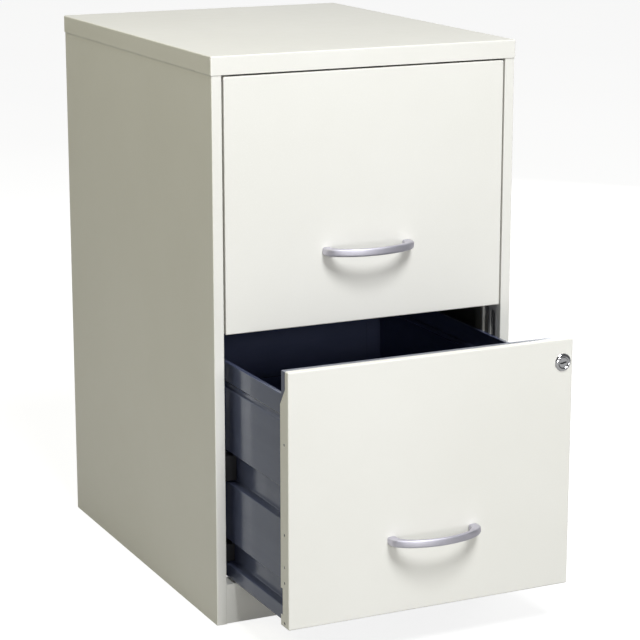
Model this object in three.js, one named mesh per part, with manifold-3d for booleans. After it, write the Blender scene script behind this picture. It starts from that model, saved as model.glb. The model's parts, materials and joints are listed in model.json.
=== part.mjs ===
// Two-drawer vertical filing cabinet in painted sheet steel, in millimetres, +Z up.
// The drawers open towards -Y. The origin is on the floor, under the middle of the whole
// object as it stands with the lower drawer part way out.
import * as THREE from "three";
import { RoundedBoxGeometry } from "three/addons/geometries/RoundedBoxGeometry.js";
import { mergeVertices } from "three/addons/utils/BufferGeometryUtils.js";
import Module from "manifold-3d";

const wasm = await Module();
wasm.setup();

// ---- Driving dimensions -------------------------------------------------------------
const WIDTH = 362;
const DEPTH = 457;
const HEIGHT = 622;
const LOWER_DRAWER_OUT = 157; // how far the lower drawer stands open
const DRAWER_PITCH = 278; // height from the lower drawer to the upper one

const SHEET = 0.6; // case, drawer and front sheet
const CAP_SHEET = 0.7; // top panel sheet
const GAP = 0.2; // between sheets that lie on each other
const BEND = 1.2; // outer radius of a folded edge

// Case
const CAP_LIP = 20; // turned-down edge of the top panel
const CAP_EDGE = 1.6; // radius of its edges
const SIDE_FACE = WIDTH / 2 - CAP_SHEET - GAP; // outer face of a side panel
const FLANGE_Y = CAP_SHEET + GAP; // front flange of a side panel
const OPENING = 168.5; // half width between the front flanges
const RETURN_END = 28; // how far back the front flange returns
const REAR_Y = DEPTH - 1;
const SIDE_TOP = HEIGHT - CAP_SHEET - 1;
const KICK_TOP = 45;
const UPRIGHT_SHEET = 0.9;
const CROWN = 166.8; // inner face of an upright
const UPRIGHT_WIDTH = 34;
const UPRIGHT_FRONTS = { front: 30, rear: 396 };

// Drawer: heights are those of the lower drawer, and depths are for a closed drawer
const FRONT_HALF = 166.5;
const FRONT_BOTTOM = 47.5;
const FRONT_TOP = 322;
const FRONT_FACE = 0.5;
const FRONT_FOLD = 20;
const FRONT_EDGE = 1.4; // radius of the front's edges
const LINER_HALF = FRONT_HALF - SHEET - GAP;
const LINER_FRONT = 8.5;
const LINER_BACK = 18.8;
const BODY_HALF = 159; // outer face of the body's side
const CHANNEL_HALF = 151; // outer face of the side's pressed channels
const BODY_FRONT = LINER_BACK + 0.3;
const BODY_BACK = 435.2;
const BODY_BOTTOM = 47.2;
const BODY_TOP = 291.3;
const UPPER_CHANNEL = { bottom: 157, top: 192 };
const LOWER_CHANNEL = { bottom: 63, top: 91 };
const CHANNEL_SLOPE = 2;

// Suspension
const RAIL = { bottom: 160.4, top: 188.8, inner: 153.6, outer: 166.6, front: 24, back: 436 };
const RAIL_SHEET = 1.2;
const GUIDE = { bottom: 66, top: 86, front: 16.5 }; // block in the lower pressed channel
const GUIDE_NOTCH = { bottom: 60, top: 89, front: 15.5 }; // room for it in the front's folds

// Handle and lock
const HANDLE_HEIGHT = 128.5;
const HANDLE_HALF = 53.5;
const POST_HALF_SPACING = 48;
const HANDLE_REACH = 29;
const HANDLE_TALL = 8.5;
const SCREW_HOLE = 2.2; // radius of the handle's holes through the front
const LOCK_X = 154.5;
const LOCK_Z = 297;
const PLUG_RADIUS = 5.4;
const BARREL_RADIUS = 8;
const CAM_FRONT = 19.5;
const CAM_BACK = 21.5;
const CAM_REACH = 20;

const ROUND = 24; // sides of a round piece
const BEND_STEPS = 4; // facets of a folded corner
const EDGE_STEPS = 2; // facets of half a rounded edge

// ---- Materials ----------------------------------------------------------------------
function finish(color, roughness, metalness) {
  return new THREE.MeshStandardMaterial({ color, roughness, metalness });
}

const OFF_WHITE = finish(0xecebe2, 0.4, 0.1);
const DARK_STEEL = finish(0x4b5058, 0.3, 0.5);
const BLACK_NYLON = finish(0x1c1c20, 0.5, 0);
const SATIN_SILVER = finish(0xbcb9c4, 0.3, 0.9);
const CHROME = finish(0xc8c8cc, 0.15, 1);
const ZINC = finish(0x9a9a92, 0.4, 0.9);

// ---- Shape helpers ------------------------------------------------------------------
function block(x0, x1, y0, y1, z0, z1) {
  const box = new THREE.BoxGeometry(Math.abs(x1 - x0), Math.abs(y1 - y0), Math.abs(z1 - z0));
  return box.translate((x0 + x1) / 2, (y0 + y1) / 2, (z0 + z1) / 2);
}

function roundedBlock(x0, x1, y0, y1, z0, z1, radius) {
  const box = new RoundedBoxGeometry(x1 - x0, y1 - y0, z1 - z0, EDGE_STEPS, radius);
  return box.translate((x0 + x1) / 2, (y0 + y1) / 2, (z0 + z1) / 2);
}

// The same block on the left (side -1) or the right (side +1) of the centre plane.
function sideBlock(side, x0, x1, y0, y1, z0, z1) {
  return block(side * x0, side * x1, y0, y1, z0, z1);
}

function extrudeZ(shape, z0, z1) {
  const solid = new THREE.ExtrudeGeometry(shape, { depth: z1 - z0, bevelEnabled: false });
  return solid.translate(0, 0, z0);
}

// Extrudes an outline drawn in X and Z along Y.
function extrudeY(shape, y0, y1) {
  const solid = new THREE.ExtrudeGeometry(shape, { depth: y1 - y0, bevelEnabled: false });
  return solid.rotateX(Math.PI / 2).translate(0, y1, 0);
}

// Extrudes an outline drawn in Y and Z along X.
function extrudeX(shape, x0, x1) {
  const solid = new THREE.ExtrudeGeometry(shape, { depth: x1 - x0, bevelEnabled: false });
  const turn = new THREE.Matrix4().makeBasis(
    new THREE.Vector3(0, 1, 0),
    new THREE.Vector3(0, 0, 1),
    new THREE.Vector3(1, 0, 0),
  );
  return solid.applyMatrix4(turn).translate(x0, 0, 0);
}

// A folded line: the corners of a path, rounded with the given radius.
function folded(corners, radius) {
  const points = corners.map(([a, b]) => new THREE.Vector2(a, b));
  const path = new THREE.Path();
  path.moveTo(points[0].x, points[0].y);
  for (let i = 1; i < points.length - 1; i++) {
    const corner = points[i];
    const before = points[i - 1].clone().sub(corner).setLength(radius).add(corner);
    const after = points[i + 1].clone().sub(corner).setLength(radius).add(corner);
    path.lineTo(before.x, before.y);
    path.quadraticCurveTo(corner.x, corner.y, after.x, after.y);
  }
  const last = points[points.length - 1];
  path.lineTo(last.x, last.y);
  return path.getPoints(BEND_STEPS);
}

// The outline of a sheet that follows a folded line, with its thickness on the line's left.
// side -1 mirrors it in the first coordinate.
function sheet(corners, radius, thickness, side = 1) {
  const line = folded(corners, radius);
  const inner = line.map((point, i) => {
    const before = point.clone().sub(line[Math.max(i - 1, 0)]).normalize();
    const after = line[Math.min(i + 1, line.length - 1)].clone().sub(point).normalize();
    const along = before.clone().add(after).normalize();
    const reference = before.lengthSq() > 0 ? before : after;
    const stretch = thickness / Math.max(along.dot(reference), 0.5);
    return new THREE.Vector2(point.x - along.y * stretch, point.y + along.x * stretch);
  });
  const outline = [...line, ...inner.reverse()];
  return new THREE.Shape(outline.map((p) => new THREE.Vector2(side * p.x, p.y)));
}

// A round rod along Y, such as a hole's cutter.
function rodY(radius, x, z, y0, y1, sides = ROUND) {
  const rod = new THREE.CylinderGeometry(radius, radius, y1 - y0, sides);
  return rod.translate(x, (y0 + y1) / 2, z);
}

function rodX(radius, y, z, x0, x1, sides) {
  const rod = new THREE.CylinderGeometry(radius, radius, Math.abs(x1 - x0), sides);
  return rod.rotateZ(Math.PI / 2).translate((x0 + x1) / 2, y, z);
}

// A turned piece about a line along Y, from its profile of [radius, y] points.
function turned(profile, x, z) {
  const points = profile.map(([radius, y]) => new THREE.Vector2(radius, y));
  return new THREE.LatheGeometry(points, ROUND).translate(x, 0, z);
}

// ---- Joins and cuts -----------------------------------------------------------------
function manifold(geometry) {
  const bare = geometry.clone();
  bare.deleteAttribute("normal");
  bare.deleteAttribute("uv");
  const merged = mergeVertices(bare, 1e-4);
  return new wasm.Manifold(
    new wasm.Mesh({
      numProp: 3,
      vertProperties: new Float32Array(merged.attributes.position.array),
      triVerts: new Uint32Array(merged.index.array),
    }),
  );
}

function geometryOf(solid) {
  const mesh = solid.getMesh();
  const geometry = new THREE.BufferGeometry();
  geometry.setAttribute("position", new THREE.BufferAttribute(mesh.vertProperties, 3));
  geometry.setIndex(new THREE.BufferAttribute(mesh.triVerts, 1));
  const flat = geometry.toNonIndexed();
  flat.computeVertexNormals();
  return flat;
}

function join(...pieces) {
  return geometryOf(pieces.map(manifold).reduce((whole, piece) => whole.add(piece)));
}

function cut(piece, ...cutters) {
  return geometryOf(
    cutters.map(manifold).reduce((rest, cutter) => rest.subtract(cutter), manifold(piece)),
  );
}

// A pressed bead in a sheet that lies across Y: a shallow tray sunk from the face at y0
// towards -Y, as [x0, x1, z0, z1].
function pressBeadsY(panel, y0, depth, beads) {
  const holes = beads.map(([x0, x1, z0, z1]) =>
    block(x0, x1, y0 - 2 * SHEET, y0 + SHEET, z0, z1),
  );
  const trays = beads.map(([x0, x1, z0, z1]) =>
    cut(
      block(x0 - SHEET, x1 + SHEET, y0 - depth - SHEET, y0, z0 - SHEET, z1 + SHEET),
      block(x0, x1, y0 - depth, y0 + SHEET, z0, z1),
    ),
  );
  return join(cut(panel, ...holes), ...trays);
}

// The same in a sheet that lies flat, with its upper face at z0 and the tray pressed up
// from below, as [x0, x1, y0, y1].
function pressBeadsZ(panel, z0, depth, beads) {
  const holes = beads.map(([x0, x1, y0, y1]) =>
    block(x0, x1, y0, y1, z0 - 2 * SHEET, z0 + SHEET),
  );
  const trays = beads.map(([x0, x1, y0, y1]) =>
    cut(
      block(x0 - SHEET, x1 + SHEET, y0 - SHEET, y1 + SHEET, z0 - SHEET, z0 + depth),
      block(x0, x1, y0, y1, z0 - 2 * SHEET, z0 + depth - SHEET),
    ),
  );
  return join(cut(panel, ...holes), ...trays);
}

function add(group, name, geometry, material) {
  const mesh = new THREE.Mesh(geometry, material);
  mesh.name = name;
  group.add(mesh);
}

const SIDES = { left: -1, right: 1 };

// ---- Case ---------------------------------------------------------------------------
// A side panel is one folded sheet: front flange with its return and hem, side, rear flange
// and a foot flange to stand on. The right one has the slot that the lock's cam enters.
function sidePanel(side) {
  const hem = 6;
  const rearFlange = 14;
  const profile = sheet(
    [
      [OPENING + hem, RETURN_END],
      [OPENING, RETURN_END],
      [OPENING, FLANGE_Y],
      [SIDE_FACE, FLANGE_Y],
      [SIDE_FACE, REAR_Y],
      [SIDE_FACE - rearFlange, REAR_Y],
    ],
    BEND,
    SHEET,
    side,
  );
  const foot = { inner: 160, front: 30, back: 438 };
  const panel = join(
    extrudeZ(profile, 0, SIDE_TOP),
    sideBlock(side, foot.inner, SIDE_FACE - SHEET / 2, foot.front, foot.back, 0, SHEET),
  );
  if (side < 0) return panel;
  const slot = { front: 12, back: 23, bottom: 275, top: 316 };
  const slotRadius = (slot.back - slot.front) / 2;
  const slotMiddle = (slot.front + slot.back) / 2;
  const strike = new THREE.Shape();
  strike.moveTo(slot.front, slot.bottom + slotRadius);
  strike.absarc(slotMiddle, slot.bottom + slotRadius, slotRadius, Math.PI, 2 * Math.PI);
  strike.absarc(slotMiddle, slot.top - slotRadius, slotRadius, 0, Math.PI);
  return cut(panel, extrudeX(strike, OPENING - 1, OPENING + 2 * SHEET));
}

// The top panel is a cap with turned-down edges all round, and its front edge folds under.
function topPanel() {
  const half = WIDTH / 2;
  const lipBottom = HEIGHT - CAP_LIP;
  const below = lipBottom - 3 * CAP_EDGE;
  const foldUnder = 12;
  return join(
    cut(
      roundedBlock(-half, half, 0, DEPTH, below, HEIGHT, CAP_EDGE),
      roundedBlock(
        CAP_SHEET - half,
        half - CAP_SHEET,
        CAP_SHEET,
        DEPTH - CAP_SHEET,
        below - 2 * CAP_EDGE,
        HEIGHT - CAP_SHEET,
        CAP_EDGE - CAP_SHEET,
      ),
      block(-WIDTH, WIDTH, -1, DEPTH + 1, below - 1, lipBottom),
    ),
    block(GAP - OPENING, OPENING - GAP, CAP_SHEET / 2, foldUnder, lipBottom, lipBottom + CAP_SHEET),
  );
}

function backPanel() {
  const half = SIDE_FACE - SHEET - BEND;
  const rearFace = REAR_Y - SHEET - GAP;
  const bottom = 2;
  const top = HEIGHT - CAP_SHEET - 0.5;
  const bead = { inner: 50, outer: 66, bottom: 60, top: 560, depth: 3 };
  return pressBeadsY(
    block(-half, half, rearFace - SHEET, rearFace, bottom, top),
    rearFace,
    bead.depth,
    [
      [-bead.outer, -bead.inner, bead.bottom, bead.top],
      [bead.inner, bead.outer, bead.bottom, bead.top],
    ],
  );
}

// A rail is a pan with its open side towards the middle of the case.
function kickRail() {
  const half = OPENING - 0.3;
  const face = 2.6;
  const back = 26;
  return cut(
    block(-half, half, face, back, 0, KICK_TOP),
    block(SHEET - half, half - SHEET, face + SHEET, back + 1, SHEET, KICK_TOP - SHEET),
  );
}

function rearRail() {
  const half = SIDE_FACE - SHEET - 0.3;
  const front = 438.5;
  const back = 452.5;
  const bottom = 1;
  const top = 41;
  return cut(
    block(-half, half, front, back, bottom, top),
    block(SHEET - half, half - SHEET, front - 1, back - SHEET, bottom + SHEET, top - SHEET),
  );
}

// A hat-section upright welded inside a side panel. Its crown carries the rails.
function upright(side, front) {
  const foot = SIDE_FACE - SHEET - GAP;
  const flange = 8;
  const bottom = 48;
  const top = 598;
  const profile = sheet(
    [
      [foot, front],
      [foot, front + flange],
      [CROWN + UPRIGHT_SHEET, front + flange],
      [CROWN + UPRIGHT_SHEET, front + UPRIGHT_WIDTH - flange],
      [foot, front + UPRIGHT_WIDTH - flange],
      [foot, front + UPRIGHT_WIDTH],
    ],
    1.5,
    UPRIGHT_SHEET,
    side,
  );
  return extrudeZ(profile, bottom, top);
}

// A rail: a channel that is open towards the drawer.
function slideRail(side) {
  const profile = sheet(
    [
      [RAIL.inner, RAIL.bottom],
      [RAIL.outer, RAIL.bottom],
      [RAIL.outer, RAIL.top],
      [RAIL.inner, RAIL.top],
    ],
    1.6,
    RAIL_SHEET,
    side,
  );
  return extrudeY(profile, RAIL.front, RAIL.back);
}

// The glide in the front end of a rail: its head reaches forward inside the drawer's
// pressed channel, and its tongue fills the rail.
function frontGlide(side) {
  const headFront = 9.5;
  const tongueBack = 58;
  const clearance = 0.25;
  const inner = CHANNEL_HALF + 0.9;
  const headOuter = LINER_HALF - SHEET - 0.5;
  const tongueOuter = RAIL.outer - RAIL_SHEET - clearance;
  return join(
    sideBlock(side, inner, headOuter, headFront, RAIL.front - clearance, RAIL.bottom, RAIL.top),
    sideBlock(
      side,
      RAIL.inner,
      tongueOuter,
      RAIL.front - 2,
      tongueBack,
      RAIL.bottom + RAIL_SHEET + clearance,
      RAIL.top - RAIL_SHEET - clearance,
    ),
  );
}

// The guide block on the front upright, inside the drawer's lower pressed channel.
function frontGuide(side) {
  const back = 54;
  return sideBlock(
    side,
    CHANNEL_HALF + 0.9,
    CROWN - GAP,
    GUIDE.front,
    back,
    GUIDE.bottom,
    GUIDE.top,
  );
}

function buildCase() {
  const group = new THREE.Group();
  add(group, "top_panel", topPanel(), OFF_WHITE);
  add(group, "back_panel", backPanel(), OFF_WHITE);
  add(group, "kick_rail", kickRail(), OFF_WHITE);
  add(group, "rear_bottom_rail", rearRail(), OFF_WHITE);
  for (const [sideName, side] of Object.entries(SIDES)) {
    add(group, `${sideName}_side_panel`, sidePanel(side), OFF_WHITE);
    for (const [place, front] of Object.entries(UPRIGHT_FRONTS)) {
      add(group, `${sideName}_${place}_upright`, upright(side, front), OFF_WHITE);
    }
    for (const [level, rise] of Object.entries({ lower: 0, upper: DRAWER_PITCH })) {
      const start = `${level}_${sideName}`;
      add(group, `${start}_rail`, slideRail(side).translate(0, 0, rise), DARK_STEEL);
      add(group, `${start}_front_glide`, frontGlide(side).translate(0, 0, rise), BLACK_NYLON);
      add(group, `${start}_front_guide`, frontGuide(side).translate(0, 0, rise), BLACK_NYLON);
    }
  }
  return group;
}

// ---- Drawer -------------------------------------------------------------------------
// The painted front is a pan with its edges folded back. The side folds narrow towards the
// top, and each has a notch for the guide block and a row of small weld-jig holes.
function drawerFront(hasLock) {
  const narrowFold = 8;
  const fullFoldTop = 285;
  const narrowFoldBottom = 303;
  const jigHole = { heights: [52, 96, 113, 148, 244], y: 11, radius: 1.7 };
  const { front, bottom, top } = GUIDE_NOTCH;
  const above = FRONT_TOP + 1;
  const behind = FRONT_FOLD + 3 * FRONT_EDGE;
  const pan = cut(
    roundedBlock(-FRONT_HALF, FRONT_HALF, FRONT_FACE, behind, FRONT_BOTTOM, FRONT_TOP, FRONT_EDGE),
    roundedBlock(
      SHEET - FRONT_HALF,
      FRONT_HALF - SHEET,
      FRONT_FACE + SHEET,
      behind + 2 * FRONT_EDGE,
      FRONT_BOTTOM + SHEET,
      FRONT_TOP - SHEET,
      FRONT_EDGE - SHEET,
    ),
    block(-WIDTH, WIDTH, FRONT_FOLD, behind + 1, FRONT_BOTTOM - 1, above),
  );
  const taper = new THREE.Shape([
    new THREE.Vector2(narrowFold, above),
    new THREE.Vector2(narrowFold, narrowFoldBottom),
    new THREE.Vector2(FRONT_FOLD, fullFoldTop),
    new THREE.Vector2(behind, fullFoldTop),
    new THREE.Vector2(behind, above),
  ]);
  const underBody = BODY_HALF + 1;
  const cutters = [
    extrudeX(taper, -WIDTH / 2, WIDTH / 2),
    block(-underBody, underBody, LINER_BACK, behind, FRONT_BOTTOM - 1, FRONT_BOTTOM + 2 * SHEET),
  ];
  for (const side of Object.values(SIDES)) {
    cutters.push(
      sideBlock(side, LINER_HALF, WIDTH / 2, front, behind, bottom, top),
      rodY(SCREW_HOLE, side * POST_HALF_SPACING, HANDLE_HEIGHT, -1, 3, 16),
    );
    for (const height of jigHole.heights) {
      cutters.push(
        rodX(jigHole.radius, jigHole.y, height, side * LINER_HALF, side * (FRONT_HALF + 1), 8),
      );
    }
  }
  if (hasLock) cutters.push(rodY(BARREL_RADIUS + 0.3, LOCK_X, LOCK_Z, -1, 3));
  return cut(pan, ...cutters);
}

// The dark inner pan that stiffens the front. It has openings for the glides, for the
// handle's screws and for the lock's barrel.
function frontLiner(hasLock) {
  const bottom = FRONT_BOTTOM + SHEET + 0.7;
  const top = FRONT_TOP - SHEET - 0.8;
  const behind = LINER_BACK + 1;
  const webFront = LINER_BACK - 3 * SHEET;
  const screwdriverHole = 7;
  const { front, bottom: notchBottom, top: notchTop } = GUIDE_NOTCH;
  const pan = cut(
    block(-LINER_HALF, LINER_HALF, LINER_FRONT, LINER_BACK, bottom, top),
    block(
      SHEET - LINER_HALF,
      LINER_HALF - SHEET,
      LINER_FRONT - 1,
      LINER_BACK - SHEET,
      bottom + SHEET,
      top - SHEET,
    ),
  );
  const cutters = [];
  for (const side of Object.values(SIDES)) {
    cutters.push(
      sideBlock(
        side,
        CHANNEL_HALF,
        LINER_HALF - SHEET,
        webFront,
        behind,
        UPPER_CHANNEL.bottom,
        UPPER_CHANNEL.top,
      ),
      sideBlock(side, CHANNEL_HALF, WIDTH / 2, front, behind, notchBottom, notchTop),
      rodY(screwdriverHole, side * POST_HALF_SPACING, HANDLE_HEIGHT, webFront, behind, 16),
    );
  }
  if (hasLock) cutters.push(rodY(BARREL_RADIUS + 1, LOCK_X, LOCK_Z, webFront, behind));
  return cut(pan, ...cutters);
}

// A body side: a foot flange, two pressed channels, a groove under the plain upper band, and
// a top flange that hanging folders hook over. Welding flanges meet the liner and the back.
function bodySide(side) {
  const footFlange = 149;
  const topFlange = 154.5;
  const groove = { half: 156.5, bottom: 262.5, top: 269.5, slope: 1.5 };
  const channel = ({ bottom, top }) => [
    [BODY_HALF, bottom],
    [CHANNEL_HALF, bottom + CHANNEL_SLOPE],
    [CHANNEL_HALF, top - CHANNEL_SLOPE],
    [BODY_HALF, top],
  ];
  const profile = sheet(
    [
      [footFlange, BODY_BOTTOM],
      [BODY_HALF, BODY_BOTTOM],
      ...channel(LOWER_CHANNEL),
      ...channel(UPPER_CHANNEL),
      [BODY_HALF, groove.bottom],
      [groove.half, groove.bottom + groove.slope],
      [groove.half, groove.top - groove.slope],
      [BODY_HALF, groove.top],
      [BODY_HALF, BODY_TOP],
      [topFlange, BODY_TOP],
    ],
    1,
    SHEET,
    side,
  );
  const weldInner = 140;
  const weldOuter = BODY_HALF - SHEET / 2;
  const welds = [];
  for (const [bottom, top] of [
    [LOWER_CHANNEL.top + 3, UPPER_CHANNEL.bottom - 3],
    [UPPER_CHANNEL.top + 3, 260],
  ]) {
    welds.push(
      sideBlock(side, weldInner, weldOuter, BODY_FRONT, BODY_FRONT + SHEET, bottom, top),
      sideBlock(side, weldInner, weldOuter, BODY_BACK - SHEET, BODY_BACK, bottom, top),
    );
  }
  return join(extrudeY(profile, BODY_FRONT, BODY_BACK), ...welds);
}

function bodyBottom() {
  const half = CHANNEL_HALF - SHEET - 0.4;
  const face = BODY_BOTTOM + 2 * SHEET + 0.4;
  const front = BODY_FRONT + SHEET + 0.4;
  const rear = BODY_BACK - 0.1;
  const lipTop = face + 10;
  const bead = { half: 120, width: 12, height: 2.4, fronts: [110, 220, 330] };
  const beads = bead.fronts.map((y) => [-bead.half, bead.half, y, y + bead.width]);
  const floor = join(
    block(-half, half, front, rear, face - SHEET, face),
    block(-half, half, front, front + SHEET, face - SHEET, lipTop),
    block(-half, half, rear - SHEET, rear, face - SHEET, lipTop),
  );
  return pressBeadsZ(floor, face, bead.height, beads);
}

function bodyBack() {
  const front = BODY_BACK + 0.3;
  const rear = front + SHEET;
  const half = BODY_HALF - 0.4;
  const bead = { half: CHANNEL_HALF - SHEET - 1.6, depth: 4 };
  const top = BODY_TOP - 0.4;
  const fold = 8;
  const panel = join(
    block(-half, half, front, rear, BODY_BOTTOM + 0.4, top),
    block(-half, half, front, rear + fold, top - SHEET, top),
  );
  const channels = [UPPER_CHANNEL, LOWER_CHANNEL];
  const notches = Object.values(SIDES).flatMap((side) =>
    channels.map(({ bottom, top }) =>
      sideBlock(side, CHANNEL_HALF - SHEET, BODY_HALF, front - 1, rear + 1, bottom, top),
    ),
  );
  const beads = channels.map((channel) => [-bead.half, bead.half, channel.bottom, channel.top]);
  return pressBeadsY(cut(panel, ...notches), rear, bead.depth, beads);
}

// The glide at the back of a body side, which runs inside the case's rail.
function rearGlide(side) {
  const plate = { inner: CHANNEL_HALF + GAP, outer: RAIL.inner - 0.4, front: 404, back: 432 };
  const runner = { front: 408, back: 430, clearance: 0.5 };
  return join(
    sideBlock(
      side,
      plate.inner,
      plate.outer,
      plate.front,
      plate.back,
      RAIL.bottom,
      RAIL.top,
    ),
    sideBlock(
      side,
      plate.inner + 1,
      RAIL.outer - RAIL_SHEET - runner.clearance,
      runner.front,
      runner.back,
      RAIL.bottom + RAIL_SHEET + runner.clearance,
      RAIL.top - RAIL_SHEET - runner.clearance,
    ),
  );
}

// A bow handle: two posts that turn into an arched bar.
function bowHandle() {
  const base = FRONT_FACE - GAP;
  const outer = { half: HANDLE_HALF, start: -7, rise: -18, sweep: 26, tip: FRONT_FACE - HANDLE_REACH };
  const thickness = 4.5;
  const inner = {
    half: 2 * POST_HALF_SPACING - HANDLE_HALF,
    rise: -16,
    sweep: 20,
    tip: outer.tip + thickness,
  };
  const bow = new THREE.Shape();
  bow.moveTo(-outer.half, base);
  bow.lineTo(-outer.half, outer.start);
  bow.bezierCurveTo(1 - outer.half, outer.rise, -outer.sweep, outer.tip, 0, outer.tip);
  bow.bezierCurveTo(outer.sweep, outer.tip, outer.half - 1, outer.rise, outer.half, outer.start);
  bow.lineTo(outer.half, base);
  bow.lineTo(inner.half, base);
  bow.bezierCurveTo(inner.half, inner.rise, inner.sweep, inner.tip, 0, inner.tip);
  bow.bezierCurveTo(-inner.sweep, inner.tip, -inner.half, inner.rise, -inner.half, base);
  const bar = new THREE.ExtrudeGeometry(bow, {
    depth: HANDLE_TALL,
    bevelEnabled: false,
    curveSegments: 14,
  }).translate(0, 0, HANDLE_HEIGHT - HANDLE_TALL / 2);
  const bore = { radius: 1.7, front: -6 };
  const bores = Object.values(SIDES).map((side) =>
    rodY(bore.radius, side * POST_HALF_SPACING, HANDLE_HEIGHT, bore.front, base + 1, 12),
  );
  return cut(bar, ...bores);
}

function handleScrew(x) {
  const seat = FRONT_FACE + SHEET + GAP;
  return turned(
    [
      [0, -5.6],
      [1.5, -5.6],
      [1.5, seat],
      [4, seat],
      [4, seat + 1.4],
      [2.6, seat + 2.4],
      [0, seat + 2.4],
    ],
    x,
    HANDLE_HEIGHT,
  );
}

function buildDrawer(level, hasLock) {
  const group = new THREE.Group();
  add(group, `${level}_drawer_front`, drawerFront(hasLock), OFF_WHITE);
  add(group, `${level}_drawer_liner`, frontLiner(hasLock), DARK_STEEL);
  add(group, `${level}_drawer_bottom`, bodyBottom(), DARK_STEEL);
  add(group, `${level}_drawer_back`, bodyBack(), DARK_STEEL);
  add(group, `${level}_handle`, bowHandle(), SATIN_SILVER);
  for (const [sideName, side] of Object.entries(SIDES)) {
    add(group, `${level}_drawer_${sideName}_side`, bodySide(side), DARK_STEEL);
    add(group, `${level}_${sideName}_rear_glide`, rearGlide(side), BLACK_NYLON);
    add(group, `${level}_handle_${sideName}_screw`, handleScrew(side * POST_HALF_SPACING), ZINC);
  }
  return group;
}

// ---- Lock ---------------------------------------------------------------------------
function lockHousing() {
  const bezelRadius = 9.7;
  const bore = PLUG_RADIUS + 0.15;
  const barrelBack = 17.2;
  return turned(
    [
      [bore, -0.9],
      [bore + 1.2, -1.6],
      [bezelRadius - 1.2, -1.2],
      [bezelRadius, -0.3],
      [bezelRadius, FRONT_FACE - GAP],
      [BARREL_RADIUS, FRONT_FACE - GAP],
      [BARREL_RADIUS, barrelBack],
      [bore, barrelBack],
      [bore, -0.9],
    ],
    LOCK_X,
    LOCK_Z,
  );
}

// The plug turns in the housing. Its face has the keyway, and its tail carries the cam.
function lockPlug() {
  const face = -0.9;
  const tail = 3;
  const shoulder = CAM_FRONT - 0.3;
  const plug = turned(
    [
      [0, face],
      [PLUG_RADIUS, face],
      [PLUG_RADIUS, shoulder],
      [tail, shoulder],
      [tail, CAM_BACK + 0.2],
      [0, CAM_BACK + 0.2],
    ],
    LOCK_X,
    LOCK_Z,
  );
  const keyway = { halfLong: 3.6, halfWide: 0.8, depth: 9 };
  return cut(
    plug,
    block(
      LOCK_X - keyway.halfLong,
      LOCK_X + keyway.halfLong,
      face - 1,
      keyway.depth,
      LOCK_Z - keyway.halfWide,
      LOCK_Z + keyway.halfWide,
    ),
    rodY(1.5, LOCK_X, LOCK_Z, shoulder - 5, CAM_BACK + 1, 12),
  );
}

// The cam points up when unlocked and turns a quarter to reach the case's strike slot.
function lockCam() {
  const hub = 4.7;
  const tip = 3.6;
  const outline = new THREE.Shape();
  outline.absarc(LOCK_X, LOCK_Z, hub, Math.PI, 2 * Math.PI);
  outline.absarc(LOCK_X, LOCK_Z + CAM_REACH - tip, tip, 0, Math.PI);
  const tailHole = new THREE.Path();
  tailHole.absarc(LOCK_X, LOCK_Z, 3.2, 0, 2 * Math.PI, true);
  outline.holes.push(tailHole);
  return extrudeY(outline, CAM_FRONT, CAM_BACK);
}

function camScrew() {
  const seat = CAM_BACK + 0.4;
  return turned(
    [
      [0, CAM_FRONT - 4],
      [1.3, CAM_FRONT - 4],
      [1.3, seat],
      [4, seat],
      [4, seat + 1.2],
      [2.8, seat + 2],
      [0, seat + 2],
    ],
    LOCK_X,
    LOCK_Z,
  );
}

// A fork that slides onto the barrel behind the drawer's front and holds the lock in it.
function lockClip() {
  const half = 10.4;
  const front = FRONT_FACE + SHEET + GAP;
  const top = LOCK_Z + 10;
  const openBottom = LOCK_Z - 13;
  const inner = BARREL_RADIUS + 0.2;
  const fork = new THREE.Shape();
  fork.moveTo(LOCK_X - half, top);
  fork.lineTo(LOCK_X - half, openBottom);
  fork.lineTo(LOCK_X - inner, openBottom);
  fork.lineTo(LOCK_X - inner, LOCK_Z);
  fork.absarc(LOCK_X, LOCK_Z, inner, Math.PI, 0, true);
  fork.lineTo(LOCK_X + inner, openBottom);
  fork.lineTo(LOCK_X + half, openBottom);
  fork.lineTo(LOCK_X + half, top);
  return extrudeY(fork, front, front + 1.2);
}

function buildLock() {
  const group = new THREE.Group();
  add(group, "lock_housing", lockHousing(), CHROME);
  add(group, "lock_plug", lockPlug(), CHROME);
  add(group, "lock_clip", lockClip(), ZINC);
  add(group, "lock_cam", lockCam(), ZINC);
  add(group, "lock_cam_screw", camScrew(), ZINC);
  return group;
}

// ---- Assembly -----------------------------------------------------------------------
const upperDrawer = buildDrawer("upper", false);
upperDrawer.position.z = DRAWER_PITCH;

const lowerDrawer = buildDrawer("lower", true);
lowerDrawer.add(buildLock());
lowerDrawer.position.y = -LOWER_DRAWER_OUT;

const foremost = FRONT_FACE - HANDLE_REACH - LOWER_DRAWER_OUT;
const cabinet = new THREE.Group();
cabinet.add(buildCase(), upperDrawer, lowerDrawer);
cabinet.position.y = -(foremost + DEPTH) / 2;

export default cabinet;
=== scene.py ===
# Looks of a two-drawer steel filing cabinet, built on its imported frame. Metres, +Z up.
import json
import math

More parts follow.
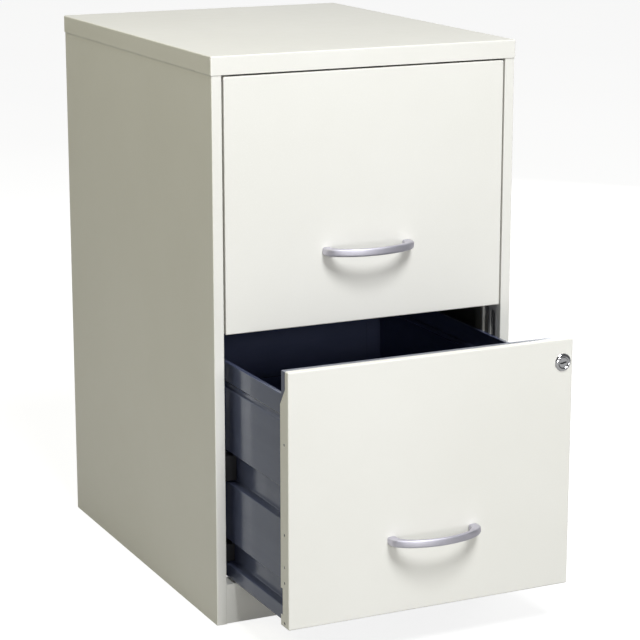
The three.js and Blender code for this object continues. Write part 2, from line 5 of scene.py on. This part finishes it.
import bmesh
import bpy
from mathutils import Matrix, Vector


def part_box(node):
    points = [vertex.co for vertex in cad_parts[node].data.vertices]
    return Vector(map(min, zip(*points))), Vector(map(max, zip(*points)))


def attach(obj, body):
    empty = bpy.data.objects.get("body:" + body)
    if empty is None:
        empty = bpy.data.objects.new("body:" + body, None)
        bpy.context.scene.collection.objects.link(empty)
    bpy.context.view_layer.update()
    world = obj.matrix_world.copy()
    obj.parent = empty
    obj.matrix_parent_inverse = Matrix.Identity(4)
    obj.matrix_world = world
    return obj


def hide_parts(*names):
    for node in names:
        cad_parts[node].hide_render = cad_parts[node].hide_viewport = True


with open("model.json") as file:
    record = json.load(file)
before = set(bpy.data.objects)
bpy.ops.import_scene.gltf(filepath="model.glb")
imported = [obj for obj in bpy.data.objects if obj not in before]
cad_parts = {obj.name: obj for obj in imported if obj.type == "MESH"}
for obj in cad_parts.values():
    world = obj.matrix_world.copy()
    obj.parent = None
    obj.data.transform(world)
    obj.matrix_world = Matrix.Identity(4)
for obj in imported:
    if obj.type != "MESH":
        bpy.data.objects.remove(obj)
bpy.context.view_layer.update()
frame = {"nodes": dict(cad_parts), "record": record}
nodes = frame["nodes"]
slot_of = {part["node"]: part["material_slot"] for part in frame["record"]["subparts"]}
case_low, case_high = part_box("top_panel")  # its lowest corner is at the height of the lip
case_middle = (case_low + case_high) / 2
case_middle.z = case_high.z / 2


# ---- Shader nodes ---------------------------------------------------------------------
def add(tree, kind, inputs=None, **settings):
    """A node of that kind. An input is a value, or an output socket to link from."""
    node = tree.nodes.new(kind)
    for key, value in settings.items():
        setattr(node, key, value)
    for key, value in (inputs or {}).items():
        if isinstance(value, bpy.types.NodeSocket):
            tree.links.new(value, node.inputs[key])
        else:
            node.inputs[key].default_value = value
    return node


def maths(tree, operation, a, b=0.0):
    return add(tree, "ShaderNodeMath", {0: a, 1: b}, operation=operation).outputs[0]


def spread(tree, value, low, high, new_low, new_high):
    """The value, moved from one range to another and clamped."""
    inputs = {0: value, 1: low, 2: high, 3: new_low, 4: new_high}
    return add(tree, "ShaderNodeMapRange", inputs).outputs[0]


def mixed(tree, share, first, second):
    """A colour between the two."""
    inputs = {0: share, 6: first, 7: second}
    return add(tree, "ShaderNodeMix", inputs, data_type="RGBA").outputs[2]


def place(tree, stretch=(1, 1, 1)):
    """Object coordinates, stretched."""
    coordinates = add(tree, "ShaderNodeTexCoord").outputs["Object"]
    inputs = {"Vector": coordinates, "Scale": stretch}
    return add(tree, "ShaderNodeMapping", inputs).outputs[0]


def noise(tree, scale, detail=2.0, roughness=0.5, stretch=(1, 1, 1)):
    inputs = {
        "Vector": place(tree, stretch),
        "Scale": scale,
        "Detail": detail,
        "Roughness": roughness,
    }
    return add(tree, "ShaderNodeTexNoise", inputs).outputs[0]


def bumped(tree, height, distance, strength=1.0, normal=None):
    inputs = {"Height": height, "Distance": distance, "Strength": strength}
    if normal is not None:
        inputs["Normal"] = normal
    return add(tree, "ShaderNodeBump", inputs).outputs[0]


def principled(name, inputs):
    """An empty material with a Principled shader whose own sockets are set."""
    material = bpy.data.materials.new(name)
    material.use_nodes = True
    tree = material.node_tree
    tree.nodes.clear()
    shader = add(tree, "ShaderNodeBsdfPrincipled", inputs)
    add(tree, "ShaderNodeOutputMaterial", {"Surface": shader.outputs[0]})
    return material, tree, shader


def connect(tree, shader, **sockets):
    for name, socket in sockets.items():
        tree.links.new(socket, shader.inputs[name.replace("_", " ")])


# ---- Materials ------------------------------------------------------------------------
CREAM = (0.830, 0.818, 0.765, 1)
CREAM_DEEP = (0.800, 0.788, 0.730, 1)
CREAM_FLECK = (0.850, 0.840, 0.795, 1)
# Olive that stands in for the deep shade inside the case: painted shade.
SHADE_OLIVE = (0.270, 0.265, 0.205, 1)
INK = (0.066, 0.078, 0.136, 1)
INK_WORN = (0.082, 0.094, 0.158, 1)
DUST = (0.09, 0.095, 0.11, 1)
UNSHADED_DEPTH = 0.030  # how far behind the case's front the cream stays free of the painted shade
SHADE_FADE = 0.012  # the depth over which the painted shade then comes in


def cream_paint(tree):
    """Colour, roughness and normal of sprayed enamel: cloudy tone, fine fleck, orange peel."""
    cloud = spread(tree, noise(tree, 4.0, 4.0), 0.35, 0.65, 0.0, 1.0)
    fleck = spread(tree, noise(tree, 900.0, 2.0), 0.58, 0.72, 0.0, 0.6)
    color = mixed(tree, cloud, CREAM, CREAM_DEEP)
    color = mixed(tree, fleck, color, CREAM_FLECK)
    roughness = spread(tree, noise(tree, 60.0, 3.0), 0.3, 0.7, 0.30, 0.40)
    waves = bumped(tree, noise(tree, 7.0, 1.0), 0.0006, 0.5)
    peel = bumped(tree, noise(tree, 420.0, 2.0), 0.00003, 0.6, waves)
    return color, roughness, peel


def ink_paint(tree):
    """Colour, roughness and normal of a thin glossy dark coat over rolled sheet."""
    drawn = noise(tree, 9.0, 5.0, 0.6, (1.0, 0.25, 4.0))
    cloud = spread(tree, drawn, 0.35, 0.7, 0.0, 1.0)
    dust = spread(tree, noise(tree, 650.0, 2.0), 0.62, 0.75, 0.0, 0.5)
    color = mixed(tree, cloud, INK, INK_WORN)
    color = mixed(tree, dust, color, DUST)
    roughness = spread(tree, noise(tree, 35.0, 4.0, 0.6, (1, 0.3, 3)), 0.3, 0.7, 0.18, 0.26)
    waves = bumped(tree, noise(tree, 9.0, 1.0), 0.0006, 0.2)
    peel = bumped(tree, noise(tree, 500.0, 2.0), 0.00003, 0.5, waves)
    return color, roughness, peel


def make_off_white():
    material, tree, shader = principled(
        "off_white_enamel", {"Coat Weight": 0.15, "Coat Roughness": 0.12, "IOR": 1.5}
    )
    color, roughness, normal = cream_paint(tree)
    connect(tree, shader, Base_Color=color, Roughness=roughness, Normal=normal)
    return material


def make_cream_in_painted_shade():
    """Inside the case, a little way behind the opening, the cream darkens to a dull olive as
    painted shade.
    """
    material, tree, shader = principled("off_white_in_painted_shade", {"IOR": 1.45})
    color, roughness, normal = cream_paint(tree)
    coordinates = add(tree, "ShaderNodeTexCoord").outputs["Object"]
    depth = add(tree, "ShaderNodeSeparateXYZ", {0: coordinates}).outputs["Y"]
    drift = spread(tree, noise(tree, 30.0, 3.0), 0.3, 0.7, 0.0, 0.008)
    start = case_low.y + UNSHADED_DEPTH
    depth = maths(tree, "SUBTRACT", depth, drift)
    # Painted shade: past this depth behind the front the cream turns olive and rougher.
    shade_share = spread(tree, depth, start, start + SHADE_FADE, 0.0, 1.0)
    color = mixed(tree, shade_share, color, SHADE_OLIVE)
    dull = maths(tree, "ADD", roughness, maths(tree, "MULTIPLY", shade_share, 0.2))
    connect(tree, shader, Base_Color=color, Roughness=dull, Normal=normal)
    return material


def make_dark_paint():
    material, tree, shader = principled(
        "dark_blue_grey_enamel",
        {
            "Coat Weight": 0.3,
            "Coat Roughness": 0.06,
            "IOR": 1.7,
            "Specular Tint": (0.64, 0.75, 1.0, 1),
        },
    )
    color, roughness, normal = ink_paint(tree)
    connect(tree, shader, Base_Color=color, Roughness=roughness, Normal=normal)
    return material


def make_nylon():
    material, tree, shader = principled("black_moulded_nylon", {"IOR": 1.35})
    grain = noise(tree, 1400.0, 3.0, 0.6)
    flow = spread(tree, noise(tree, 60.0, 3.0), 0.3, 0.7, 0.0, 1.0)
    color = mixed(tree, flow, (0.006, 0.006, 0.007, 1), (0.014, 0.014, 0.016, 1))
    roughness = spread(tree, grain, 0.3, 0.7, 0.50, 0.65)
    connect(
        tree,
        shader,
        Base_Color=color,
        Roughness=roughness,
        Normal=bumped(tree, grain, 0.00004, 0.6),
    )
    return material


def make_satin_silver():
    material, tree, shader = principled("satin_silver_plating", {"Metallic": 1.0})
    brushed = noise(tree, 260.0, 4.0, 0.65, (0.12, 1.0, 1.0))
    cloud = spread(tree, noise(tree, 45.0, 3.0), 0.3, 0.7, 0.0, 1.0)
    color = mixed(tree, cloud, (0.600, 0.585, 0.655, 1), (0.655, 0.640, 0.705, 1))
    roughness = spread(tree, brushed, 0.3, 0.7, 0.50, 0.62)
    connect(
        tree,
        shader,
        Base_Color=color,
        Roughness=roughness,
        Normal=bumped(tree, brushed, 0.00004, 0.5),
    )
    return material


def make_chrome():
    material, tree, shader = principled("bright_chrome", {"Metallic": 1.0})
    smear = spread(tree, noise(tree, 240.0, 4.0, 0.6), 0.35, 0.7, 0.0, 1.0)
    color = mixed(tree, smear, (0.72, 0.72, 0.75, 1), (0.64, 0.64, 0.67, 1))
    roughness = spread(tree, smear, 0.0, 1.0, 0.07, 0.18)
    polish = bumped(tree, noise(tree, 500.0, 2.0), 0.00002, 0.4)
    connect(tree, shader, Base_Color=color, Roughness=roughness, Normal=polish)
    return material


def make_zinc():
    material, tree, shader = principled("zinc_plating", {"Metallic": 1.0})
    spangle = add(
        tree, "ShaderNodeTexVoronoi", {"Vector": place(tree), "Scale": 520.0}
    ).outputs["Color"]
    tone = spread(tree, spangle, 0.0, 1.0, 0.0, 1.0)
    color = mixed(tree, tone, (0.50, 0.50, 0.47, 1), (0.62, 0.61, 0.58, 1))
    roughness = spread(tree, noise(tree, 300.0, 3.0), 0.3, 0.7, 0.30, 0.48)
    grain = bumped(tree, noise(tree, 1200.0, 2.0), 0.00002, 0.5)
    connect(tree, shader, Base_Color=color, Roughness=roughness, Normal=grain)
    return material


MATERIALS = {
    "off_white_paint": make_off_white(),
    "dark_paint": make_dark_paint(),
    "black_nylon": make_nylon(),
    "satin_silver": make_satin_silver(),
    "chrome": make_chrome(),
    "zinc_plate": make_zinc(),
}


# ---- CAD nodes: real edges and finishes -----------------------------------------------
EDGE_RADIUS = {
    "off_white_paint": 0.00018,
    "dark_paint": 0.00015,
    "black_nylon": 0.0007,
    "zinc_plate": 0.0002,
}


SHARP = math.radians(35)  # edges that turn more than this are rounded
FLAT = math.radians(0.4)  # faces that turn less than this are one face
SAME_POINT = 1e-5  # points nearer than this, in metres, are one point


def crisp(piece, radius):
    """Rounds the sharp edges and evens the shading."""
    bevel = piece.modifiers.new("edges", "BEVEL")
    bevel.width = radius
    bevel.segments = 2
    bevel.limit_method = "ANGLE"
    bevel.angle_limit = SHARP
    bevel.use_clamp_overlap = False
    piece.modifiers.new("normals", "WEIGHTED_NORMAL").keep_sharp = False


def soften(obj, radius):
    """Joins the faces that the import split, cuts the flat ones into even triangles, which
    keeps the holes in them clean, then rounds the edges and evens the shading."""
    mesh = obj.data
    for name in ("custom_normal", "sharp_edge", "sharp_face"):
        if name in mesh.attributes:
            mesh.attributes.remove(mesh.attributes[name])
    mesh.shade_smooth()
    obj.modifiers.new("weld", "WELD").merge_threshold = SAME_POINT
    flat = obj.modifiers.new("flat", "DECIMATE")
    flat.decimate_type = "DISSOLVE"
    flat.angle_limit = FLAT
    obj.modifiers.new("triangles", "TRIANGULATE").ngon_method = "BEAUTY"
    crisp(obj, radius)


def give_painted_shade(obj, everywhere):
    """Gives the faces that look into the case, or all of them, the cream that darkens to olive
    as painted shade.
    """
    obj.data.materials.append(SHADED_CREAM_PAINT)
    for face in obj.data.polygons:
        if everywhere or face.normal.dot(case_middle - face.center) > 0:
            face.material_index = 1


SHADED_CREAM_PAINT = make_cream_in_painted_shade()
for name, obj in nodes.items():
    slot = slot_of[name]
    obj.data.materials.clear()
    obj.data.materials.append(MATERIALS[slot])
    # Faces that look into the case, and the uprights and rear rail all over, get cream darkened
    # by painted shade.
    if name in ("left_side_panel", "right_side_panel", "top_panel", "back_panel"):
        give_painted_shade(obj, False)
    if name.endswith("_upright") or name == "rear_bottom_rail":
        give_painted_shade(obj, True)
    if slot in EDGE_RADIUS:
        soften(obj, EDGE_RADIUS[slot])


# ---- New pieces -----------------------------------------------------------------------
def closed_mesh(name, vertices, faces):
    """A mesh of a closed shape, with its faces turned to look outward."""
    mesh = bpy.data.meshes.new(name)
    mesh.from_pydata(vertices, [], faces)
    mesh.validate()
    shape = bmesh.new()
    shape.from_mesh(mesh)
    if shape.calc_volume(signed=True) < 0:
        bmesh.ops.reverse_faces(shape, faces=shape.faces)
        shape.to_mesh(mesh)
    shape.free()
    return mesh


def make_piece(name, vertices, faces, slot, body, *replaced):
    """A new piece that rides on the body and stands for the replaced nodes."""
    mesh = closed_mesh(name, vertices, faces)
    mesh.shade_smooth()
    mesh.materials.append(MATERIALS[slot])
    piece = bpy.data.objects.new(name, mesh)
    bpy.context.scene.collection.objects.link(piece)
    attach(piece, body)
    if replaced:
        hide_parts(*replaced)
    return piece


def bezier(p0, p1, p2, p3, t):
    """The point at t on a cubic curve."""
    u = 1 - t
    return p0 * u**3 + p1 * (3 * u * u * t) + p2 * (3 * u * t * t) + p3 * t**3


def even_points(points, count):
    """The same line with its points spaced evenly along it."""
    lengths = [0.0]
    for a, b in zip(points, points[1:]):
        lengths.append(lengths[-1] + (b - a).length)
    result, j = [], 0
    for i in range(count):
        wanted = lengths[-1] * i / (count - 1)
        while j < len(points) - 2 and lengths[j + 1] < wanted:
            j += 1
        share = (wanted - lengths[j]) / (lengths[j + 1] - lengths[j])
        result.append(points[j].lerp(points[j + 1], min(share, 1.0)))
    return result


def bow_half(half, straight, rise, sweep, tip, turn_in, base):
    """Half a bow's edge, from its post's foot to the middle of the bar, as (X, Y) points."""
    posts, steps, count = 8, 60, 34
    points = [Vector((half, base + (straight - base) * i / posts)) for i in range(posts)]
    ends = (half, straight), (half - turn_in, rise), (sweep, tip), (0, tip)
    curve = [Vector(p) for p in ends]
    return even_points(points + [bezier(*curve, i / steps) for i in range(steps + 1)], count)


def make_handle(level):
    """A bow pull with a softly rounded section, thicker at its posts."""
    low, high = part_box(f"{level}_handle")
    middle = (low + high) / 2
    tip = low.y - high.y + 0.0001
    half = (high.x - low.x) / 2
    outer = bow_half(half, -0.0065, -0.0180, 0.026, tip, 0.0008, 0.0)
    inner = bow_half(half - 0.0105, -0.0020, -0.0175, 0.020, tip + 0.0046, 0.0004, 0.0)
    stations = list(zip(outer, inner))
    mirrored = [(Vector((-o.x, o.y)), Vector((-i.x, i.y))) for o, i in stations[:-1]]
    stations += mirrored[::-1]
    around = 28
    tall = (high.z - low.z) / 2
    squareness = 2 / 3.6
    vertices, faces = [], []
    for out, inn in stations:
        centre, across = (out + inn) / 2, (out - inn) / 2
        for k in range(around):
            c = math.cos(2 * math.pi * k / around)
            s = math.sin(2 * math.pi * k / around)
            u = math.copysign(abs(c) ** squareness, c)
            v = math.copysign(abs(s) ** squareness, s)
            point = centre + across * u
            vertices.append((middle.x + point.x, high.y + point.y, middle.z + tall * v))
    for i in range(len(stations) - 1):
        for k in range(around):
            a, b = i * around + k, i * around + (k + 1) % around
            faces.append((a, b, b + around, a + around))
    faces.append(tuple(range(around))[::-1])
    faces.append(tuple(range((len(stations) - 1) * around, len(stations) * around)))
    return make_piece(
        f"{level}_bow_handle",
        vertices,
        faces,
        "satin_silver",
        f"{level}_drawer",
        f"{level}_handle",
    )


def lathe(profile, x, z, around=72):
    """Vertices and faces of a closed turned piece about a line along Y, from [radius, y] points.
    A radius of 0 is one point on the line."""
    vertices, faces, rings = [], [], []
    for radius, y in profile:
        start = len(vertices)
        if radius < 1e-7:
            vertices.append((x, y, z))
            rings.append([start] * around)
            continue
        for k in range(around):
            angle = 2 * math.pi * k / around
            vertices.append((x + radius * math.cos(angle), y, z + radius * math.sin(angle)))
        rings.append(list(range(start, start + around)))
    for first, second in zip(rings, rings[1:]):
        for k in range(around):
            n = (k + 1) % around
            corners = [first[k], first[n], second[n], second[k]]
            face = [c for i, c in enumerate(corners) if c not in corners[:i]]
            if len(face) > 2:
                faces.append(tuple(face))
    return vertices, faces


def carve(piece, name, vertices, faces):
    """Cuts a closed shape out of a piece."""
    mesh = closed_mesh(name, vertices, faces)
    cutter = bpy.data.objects.new(name, mesh)
    bpy.context.scene.collection.objects.link(cutter)
    boolean = piece.modifiers.new("carve", "BOOLEAN")
    boolean.operation = "DIFFERENCE"
    boolean.solver = "EXACT"
    boolean.object = cutter
    bpy.context.view_layer.update()
    graph = bpy.context.evaluated_depsgraph_get()
    carved = bpy.data.meshes.new_from_object(piece.evaluated_get(graph))
    piece.modifiers.remove(boolean)
    old = piece.data
    piece.data = carved
    bpy.data.meshes.remove(old)
    bpy.data.objects.remove(cutter)
    bpy.data.meshes.remove(mesh)


def prism(outline, x, z, y0, y1, taper=1.0):
    """A closed prism along Y from an outline of [x, z] points, scaled by taper at y1."""
    count = len(outline)
    vertices = [(x + a, y0, z + b) for a, b in outline]
    vertices += [(x + a * taper, y1, z + b * taper) for a, b in outline]
    faces = [(i, (i + 1) % count, (i + 1) % count + count, i + count) for i in range(count)]
    faces.append(tuple(range(count))[::-1])
    faces.append(tuple(range(count, 2 * count)))
    return vertices, faces


def make_lock():
    """The chromed housing with its dished bezel, and the plug with its stepped keyway."""
    low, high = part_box("lock_housing")
    x, z = (low.x + high.x) / 2, (low.z + high.z) / 2
    rim = (high.x - low.x) / 2
    plug_low, plug_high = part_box("lock_plug")
    plug = (plug_high.x - plug_low.x) / 2
    bore = plug + 0.00012
    face = low.y
    seat = face + 0.0019
    barrel = 0.0080
    profile = [
        (bore, face + 0.0011),
        (bore + 0.0002, face + 0.0008),
        (bore + 0.0007, face + 0.0003),
        (bore + 0.0012, face + 0.00003),
        (rim - 0.0029, face + 0.00004),
        (rim - 0.0021, face + 0.00026),
        (rim - 0.0013, face + 0.00066),
        (rim - 0.0006, face + 0.00112),
        (rim - 0.0001, face + 0.00160),
        (rim, seat),
        (barrel, seat),
        (barrel, high.y),
        (bore, high.y),
    ]
    vertices, faces = lathe(profile, x, z)
    around = len(vertices) // len(profile)
    last = len(vertices) - around
    faces += [
        (last + k, last + (k + 1) % around, (k + 1) % around, k) for k in range(around)
    ]
    housing = make_piece(
        "lock_bezel_and_barrel", vertices, faces, "chrome", "lower_drawer", "lock_housing"
    )
    crisp(housing, 0.0001)

    face, back = plug_low.y, plug_high.y
    tail = 0.0030
    shoulder = back - 0.0025
    profile = [(0, face), (plug, face), (plug, shoulder)]
    profile += [(tail, shoulder), (tail, back), (0, back)]
    vertices, faces = lathe(profile, x, z)
    core = make_piece(
        "lock_plug_with_keyway", vertices, faces, "chrome", "lock_cylinder", "lock_plug"
    )
    keyway = [
        (-0.0038, -0.0012), (0.0006, -0.0012), (0.0006, -0.0005), (0.0038, -0.0005),
        (0.0038, 0.0008), (-0.0004, 0.0008), (-0.0004, 0.0002), (-0.0038, 0.0002),
    ]
    bottom = face + 0.009
    carve(core, "keyway_cutter", *prism(keyway, x, z, face - 0.001, bottom))
    # The inside of the keyway is dark: its walls get the black nylon finish as painted shade for
    # the deep slot.
    core.data.materials.append(MATERIALS["black_nylon"])
    for wall in core.data.polygons:
        across = wall.center - Vector((x, wall.center.y, z))
        if face + 0.0001 < wall.center.y < bottom + 0.0005 and across.length < plug * 0.8:
            wall.material_index = 1
    crisp(core, 0.0001)


def cross(arm, width):
    """The outline of a cross."""
    corners = [(arm, -width), (arm, width), (width, width), (width, arm), (-width, arm)]
    corners += [(-width, width), (-arm, width), (-arm, -width), (-width, -width)]
    return corners + [(-width, -arm), (width, -arm), (width, -width)]


def make_screw(node, body):
    """A pan-head screw with a cross recess. Its head is at the back end of the node."""
    low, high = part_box(node)
    x, z = (low.x + high.x) / 2, (low.z + high.z) / 2
    head = (high.x - low.x) / 2
    shank = 0.0015 if "handle" in node else 0.0013
    tall = 0.0024 if "handle" in node else 0.0020
    seat = high.y - tall
    pitch, root = 0.0008, shank * 0.84
    profile = [(0, low.y), (shank * 0.7, low.y), (shank, low.y + 0.0005)]
    turns = int((seat - low.y - 0.001) / pitch)
    for i in range(turns):
        y = low.y + 0.0007 + i * pitch
        profile += [(shank, y), (root, y + pitch / 2)]
    rim = 0.3  # share of the head's height that is straight
    profile += [(shank, seat), (head, seat), (head, seat + tall * rim)]
    steps = 6
    for i in range(1, steps + 1):
        angle = i / steps * math.pi / 2
        radius = head * math.cos(angle) ** 0.6 if i < steps else 0
        profile.append((radius, seat + tall * (rim + (1 - rim) * math.sin(angle))))
    vertices, faces = lathe(profile, x, z, 40)
    screw = make_piece(f"{node}_cross_recess", vertices, faces, "zinc_plate", body, node)
    recess = prism(cross(0.0021, 0.00045), x, z, high.y + 0.0004, seat + tall * 0.25, 0.45)
    carve(screw, "recess_cutter", *recess)
    crisp(screw, 0.00008)


for level in ("upper", "lower"):
    make_handle(level)
    for side in ("left", "right"):
        make_screw(f"{level}_handle_{side}_screw", f"{level}_drawer")
make_lock()
make_screw("lock_cam_screw", "lock_cylinder")

# ---- Floor, light and camera ----------------------------------------------------------
scene = bpy.context.scene
scene.view_settings.view_transform = "Standard"

FLOOR_Z = -0.0002  # just under the foot flanges, so that the two don't share a plane
FLOOR_HALF = 40.0
FLOOR_GLOW = 0.85  # what the camera sees, for a white studio
FLOOR_MIRRORED = 0.12  # what glossy paint mirrors of it


def make_floor():
    """A white studio floor, which glows for the camera and hardly lights the cabinet."""
    mesh = bpy.data.meshes.new("studio_floor")
    signs = (-1, -1), (1, -1), (1, 1), (-1, 1)
    corners = [(x * FLOOR_HALF, y * FLOOR_HALF, FLOOR_Z) for x, y in signs]
    mesh.from_pydata(corners, [], [(0, 1, 2, 3)])
    material, tree, shader = principled(
        "studio_floor_white",
        {
            "Roughness": 0.9,
            "Specular IOR Level": 0.1,
            "Emission Color": (1, 1, 1, 1),
        },
    )
    cloud = spread(tree, noise(tree, 1.5, 3.0), 0.3, 0.7, 0.0, 1.0)
    color = mixed(tree, cloud, (0.28, 0.28, 0.27, 1), (0.30, 0.30, 0.29, 1))
    path = add(tree, "ShaderNodeLightPath").outputs
    mirrored = maths(tree, "MULTIPLY", path["Is Glossy Ray"], FLOOR_MIRRORED)
    seen = maths(tree, "MULTIPLY", path["Is Camera Ray"], FLOOR_GLOW)
    glow = maths(tree, "ADD", seen, mirrored)
    connect(tree, shader, Base_Color=color, Emission_Strength=glow)
    mesh.materials.append(material)
    floor = bpy.data.objects.new("studio_floor", mesh)
    scene.collection.objects.link(floor)


def make_world():
    """Soft room light, brighter from behind. The camera sees plain white past the floor."""
    world = bpy.data.worlds.new("studio")
    scene.world = world
    world.use_nodes = True
    tree = world.node_tree
    tree.nodes.clear()
    direction = add(tree, "ShaderNodeTexCoord").outputs["Generated"]
    axes = add(tree, "ShaderNodeSeparateXYZ", {0: direction}).outputs
    back = spread(tree, axes["Y"], -0.1, 0.85, 0.0, 1.0)
    tone = mixed(tree, back, (0.12, 0.12, 0.12, 1), (0.50, 0.50, 0.50, 1))
    seen = add(tree, "ShaderNodeLightPath").outputs["Is Camera Ray"]
    color = mixed(tree, seen, tone, (1.0, 1.0, 1.0, 1))
    background = add(tree, "ShaderNodeBackground", {"Color": color, "Strength": 1.0})
    add(tree, "ShaderNodeOutputWorld", {"Surface": background.outputs[0]})


def make_light(name, place_at, aim, size, power, color):
    """A round soft light of that diameter in metres and power in watts."""
    light = bpy.data.lights.new(name, "AREA")
    light.shape = "DISK"
    light.size = size
    light.energy = power
    light.color = color
    obj = bpy.data.objects.new(name, light)
    obj.location = place_at
    obj.rotation_euler = (Vector(aim) - Vector(place_at)).to_track_quat("-Z", "Y").to_euler()
    scene.collection.objects.link(obj)


CAMERA_AT = (-1.0672, -2.2573, 0.9001)
CAMERA_TURNED = 0.4446  # to the right of straight ahead, in radians
CAMERA_DOWN = 0.2376
LENS = 125.96


def make_camera():
    data = bpy.data.cameras.new("camera")
    data.lens = LENS
    data.sensor_width = 36.0
    data.clip_end = 100.0
    camera = bpy.data.objects.new("camera", data)
    camera.location = CAMERA_AT
    camera.rotation_euler = (math.pi / 2 - CAMERA_DOWN, 0.0, -CAMERA_TURNED)
    scene.collection.objects.link(camera)
    scene.camera = camera


make_floor()
make_world()
make_light("key_softbox", (-0.1, -2.0, 2.85), (0.0, -0.1, 0.35), 1.1, 88.0, (1.0, 1.02, 1.045))
make_light("front_fill", (0.05, -3.3, 1.14), (0.0, -0.1, 0.35), 0.35, 16.0, (1.0, 1.0, 1.0))
make_light("low_fill", (-0.7, -3.2, 0.32), (0.0, -0.1, 0.2), 0.6, 17.0, (1.0, 1.0, 1.0))
make_light("left_softbox", (-1.5, 0.1, 1.8), (-0.181, 0.0, 0.4), 1.0, 9.8, (1.0, 0.96, 0.62))
make_light("rear_softbox", (1.9, 1.6, 0.7), (0.1, 0.1, 0.35), 1.2, 18.0, (1.0, 1.0, 0.97))
make_camera()
